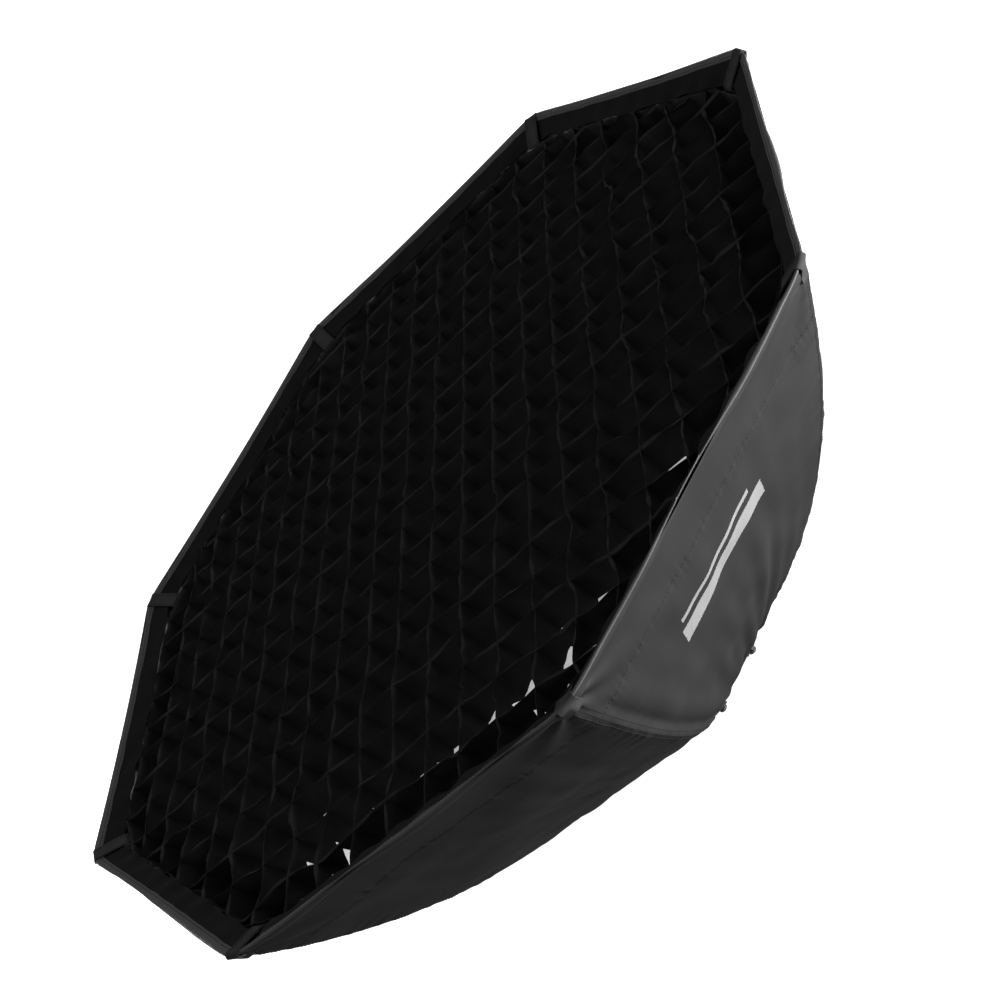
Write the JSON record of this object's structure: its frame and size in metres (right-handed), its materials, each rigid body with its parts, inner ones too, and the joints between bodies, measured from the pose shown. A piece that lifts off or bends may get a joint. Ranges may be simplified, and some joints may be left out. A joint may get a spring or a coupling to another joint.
{
  "type": "folding octagonal softbox",
  "caption": "Folding octagonal softbox with sprung rods, a black cloth shell, white diffusers and a fabric egg-crate grid, held on a studio light by its bayonet.",
  "frame": {"origin": "centre of the bayonet tube's rear face, the lowest point of the row", "axes": "+Z along the light axis, out of the mouth; +X through the middle of panel 8, and the rods stand at 22.5 degrees and every 45 degrees on"},
  "size_m": [0.8912, 0.8912, 0.3852],
  "materials": {
    "cast_ring": "satin black coated casting",
    "bayonet_metal": "machined, satin",
    "plated_steel": "bright",
    "black_steel": "black oxide",
    "rod_lacquer": "gloss black lacquer",
    "socket_metal": "black anodised",
    "button_plastic": "matte",
    "knob_plastic": "matte",
    "shell_cloth": "black nylon outside, silver inside",
    "cuff_cloth": "matte",
    "lip_cloth": "matte",
    "webbing": "woven",
    "diffusion_cloth": "translucent white",
    "border_tape": "looped pile",
    "hem_tape": "matte",
    "elastic": "ribbed",
    "grid_cloth": "matte"
  },
  "bodies": {
    "frame": {"speedring_body": "cast_ring", "hinge_pins": "plated_steel", "hinge_pin_clips": "black_steel", "button_springs": "plated_steel", "retaining_ring": "black_steel", "retaining_screws": "plated_steel", "rear_cuff": "cuff_cloth", "front_lip": "lip_cloth", "shell_panel_1": "shell_cloth", "shell_panel_2": "shell_cloth", "shell_panel_3": "shell_cloth", "shell_panel_4": "shell_cloth", "shell_panel_5": "shell_cloth", "shell_panel_6": "shell_cloth", "shell_panel_7": "shell_cloth", "shell_panel_8": "shell_cloth"},
    "insert": {"bayonet_insert": "bayonet_metal"},
    "rotation_lock": {"rotation_lock_stud": "plated_steel", "rotation_lock_knob": "knob_plastic"},
    "arm_1": {"rod_socket_1": "socket_metal", "rod_1": "rod_lacquer", "corner_strap_1": "webbing"},
    "arm_2": {"rod_socket_2": "socket_metal", "rod_2": "rod_lacquer", "corner_strap_2": "webbing"},
    "arm_3": {"rod_socket_3": "socket_metal", "rod_3": "rod_lacquer", "corner_strap_3": "webbing"},
    "arm_4": {"rod_socket_4": "socket_metal", "rod_4": "rod_lacquer", "corner_strap_4": "webbing"},
    "arm_5": {"rod_socket_5": "socket_metal", "rod_5": "rod_lacquer", "corner_strap_5": "webbing"},
    "arm_6": {"rod_socket_6": "socket_metal", "rod_6": "rod_lacquer", "corner_strap_6": "webbing"},
    "arm_7": {"rod_socket_7": "socket_metal", "rod_7": "rod_lacquer", "corner_strap_7": "webbing"},
    "arm_8": {"rod_socket_8": "socket_metal", "rod_8": "rod_lacquer", "corner_strap_8": "webbing"},
    "button_1": {"release_button_1": "button_plastic"},
    "button_2": {"release_button_2": "button_plastic"},
    "button_3": {"release_button_3": "button_plastic"},
    "button_4": {"release_button_4": "button_plastic"},
    "button_5": {"release_button_5": "button_plastic"},
    "button_6": {"release_button_6": "button_plastic"},
    "button_7": {"release_button_7": "button_plastic"},
    "button_8": {"release_button_8": "button_plastic"},
    "baffle": {"inner_baffle": "diffusion_cloth", "baffle_hem": "hem_tape", "baffle_straps": "elastic"},
    "diffuser": {"front_diffuser": "diffusion_cloth", "diffuser_border": "border_tape"},
    "grid": {"grid_border": "grid_cloth", "grid_strips_long": "grid_cloth", "grid_strips_cross": "grid_cloth"}
  },
  "joints": [
    {"name": "insert_turn", "type": "hinge", "parent": "frame", "child": "insert", "pos_m": [0, 0, 0.0146], "axis": [0, 0, 1], "continuous": true},
    {"name": "lock_turn", "type": "hinge", "parent": "frame", "child": "rotation_lock", "pos_m": [0.076, 0, 0.0146], "axis": [1, 0, 0], "range_deg": [0, 270]},
    {"name": "fold", "type": "hinge", "parent": "frame", "child": "arm_1", "pos_m": [0.07668, 0.03176, 0.026], "axis": [0.3827, -0.9239, 0], "range_deg": [0, 48], "deforming": ["shell_panel_1", "shell_panel_2", "shell_panel_3", "shell_panel_4", "shell_panel_5", "shell_panel_6", "shell_panel_7", "shell_panel_8", "rear_cuff", "front_lip", "inner_baffle", "baffle_hem", "baffle_straps", "front_diffuser", "diffuser_border", "grid_border", "grid_strips_long", "grid_strips_cross"]},
    {"name": "fold_2", "type": "hinge", "parent": "frame", "child": "arm_2", "pos_m": [0.03176, 0.07668, 0.026], "axis": [0.9239, -0.3827, 0], "range_deg": [0, 48]},
    {"name": "fold_3", "type": "hinge", "parent": "frame", "child": "arm_3", "pos_m": [-0.03176, 0.07668, 0.026], "axis": [0.9239, 0.3827, 0], "range_deg": [0, 48]},
    {"name": "fold_4", "type": "hinge", "parent": "frame", "child": "arm_4", "pos_m": [-0.07668, 0.03176, 0.026], "axis": [0.3827, 0.9239, 0], "range_deg": [0, 48]},
    {"name": "fold_5", "type": "hinge", "parent": "frame", "child": "arm_5", "pos_m": [-0.07668, -0.03176, 0.026], "axis": [-0.3827, 0.9239, 0], "range_deg": [0, 48]},
    {"name": "fold_6", "type": "hinge", "parent": "frame", "child": "arm_6", "pos_m": [-0.03176, -0.07668, 0.026], "axis": [-0.9239, 0.3827, 0], "range_deg": [0, 48]},
    {"name": "fold_7", "type": "hinge", "parent": "frame", "child": "arm_7", "pos_m": [0.03176, -0.07668, 0.026], "axis": [-0.9239, -0.3827, 0], "range_deg": [0, 48]},
    {"name": "fold_8", "type": "hinge", "parent": "frame", "child": "arm_8", "pos_m": [0.07668, -0.03176, 0.026], "axis": [-0.3827, -0.9239, 0], "range_deg": [0, 48]},
    {"name": "button_1_press", "type": "slide", "parent": "frame", "child": "button_1", "axis": [0, 0, 1], "range_m": [0, 0.0033], "stiffness_N_per_m": 500, "springref_m": -0.003, "deforming": ["button_springs"]},
    {"name": "button_2_press", "type": "slide", "parent": "frame", "child": "button_2", "axis": [0, 0, 1], "range_m": [0, 0.0033], "stiffness_N_per_m": 500, "springref_m": -0.003, "deforming": ["button_springs"]},
    {"name": "button_3_press", "type": "slide", "parent": "frame", "child": "button_3", "axis": [0, 0, 1], "range_m": [0, 0.0033], "stiffness_N_per_m": 500, "springref_m": -0.003, "deforming": ["button_springs"]},
    {"name": "button_4_press", "type": "slide", "parent": "frame", "child": "button_4", "axis": [0, 0, 1], "range_m": [0, 0.0033], "stiffness_N_per_m": 500, "springref_m": -0.003, "deforming": ["button_springs"]},
    {"name": "button_5_press", "type": "slide", "parent": "frame", "child": "button_5", "axis": [0, 0, 1], "range_m": [0, 0.0033], "stiffness_N_per_m": 500, "springref_m": -0.003, "deforming": ["button_springs"]},
    {"name": "button_6_press", "type": "slide", "parent": "frame", "child": "button_6", "axis": [0, 0, 1], "range_m": [0, 0.0033], "stiffness_N_per_m": 500, "springref_m": -0.003, "deforming": ["button_springs"]},
    {"name": "button_7_press", "type": "slide", "parent": "frame", "child": "button_7", "axis": [0, 0, 1], "range_m": [0, 0.0033], "stiffness_N_per_m": 500, "springref_m": -0.003, "deforming": ["button_springs"]},
    {"name": "button_8_press", "type": "slide", "parent": "frame", "child": "button_8", "axis": [0, 0, 1], "range_m": [0, 0.0033], "stiffness_N_per_m": 500, "springref_m": -0.003, "deforming": ["button_springs"]},
    {"name": "baffle_lift", "type": "slide", "parent": "frame", "child": "baffle", "axis": [0, 0, 1], "range_m": [0, 0.3]},
    {"name": "diffuser_lift", "type": "slide", "parent": "baffle", "child": "diffuser", "axis": [0, 0, 1], "range_m": [0, 0.12]},
    {"name": "grid_lift", "type": "slide", "parent": "diffuser", "child": "grid", "axis": [0, 0, 1], "range_m": [0, 0.12]}
  ],
  "couplings": [
    {"joint": "fold_2", "follows": "fold", "ratio": 1},
    {"joint": "fold_3", "follows": "fold", "ratio": 1},
    {"joint": "fold_4", "follows": "fold", "ratio": 1},
    {"joint": "fold_5", "follows": "fold", "ratio": 1},
    {"joint": "fold_6", "follows": "fold", "ratio": 1},
    {"joint": "fold_7", "follows": "fold", "ratio": 1},
    {"joint": "fold_8", "follows": "fold", "ratio": 1}
  ]
}
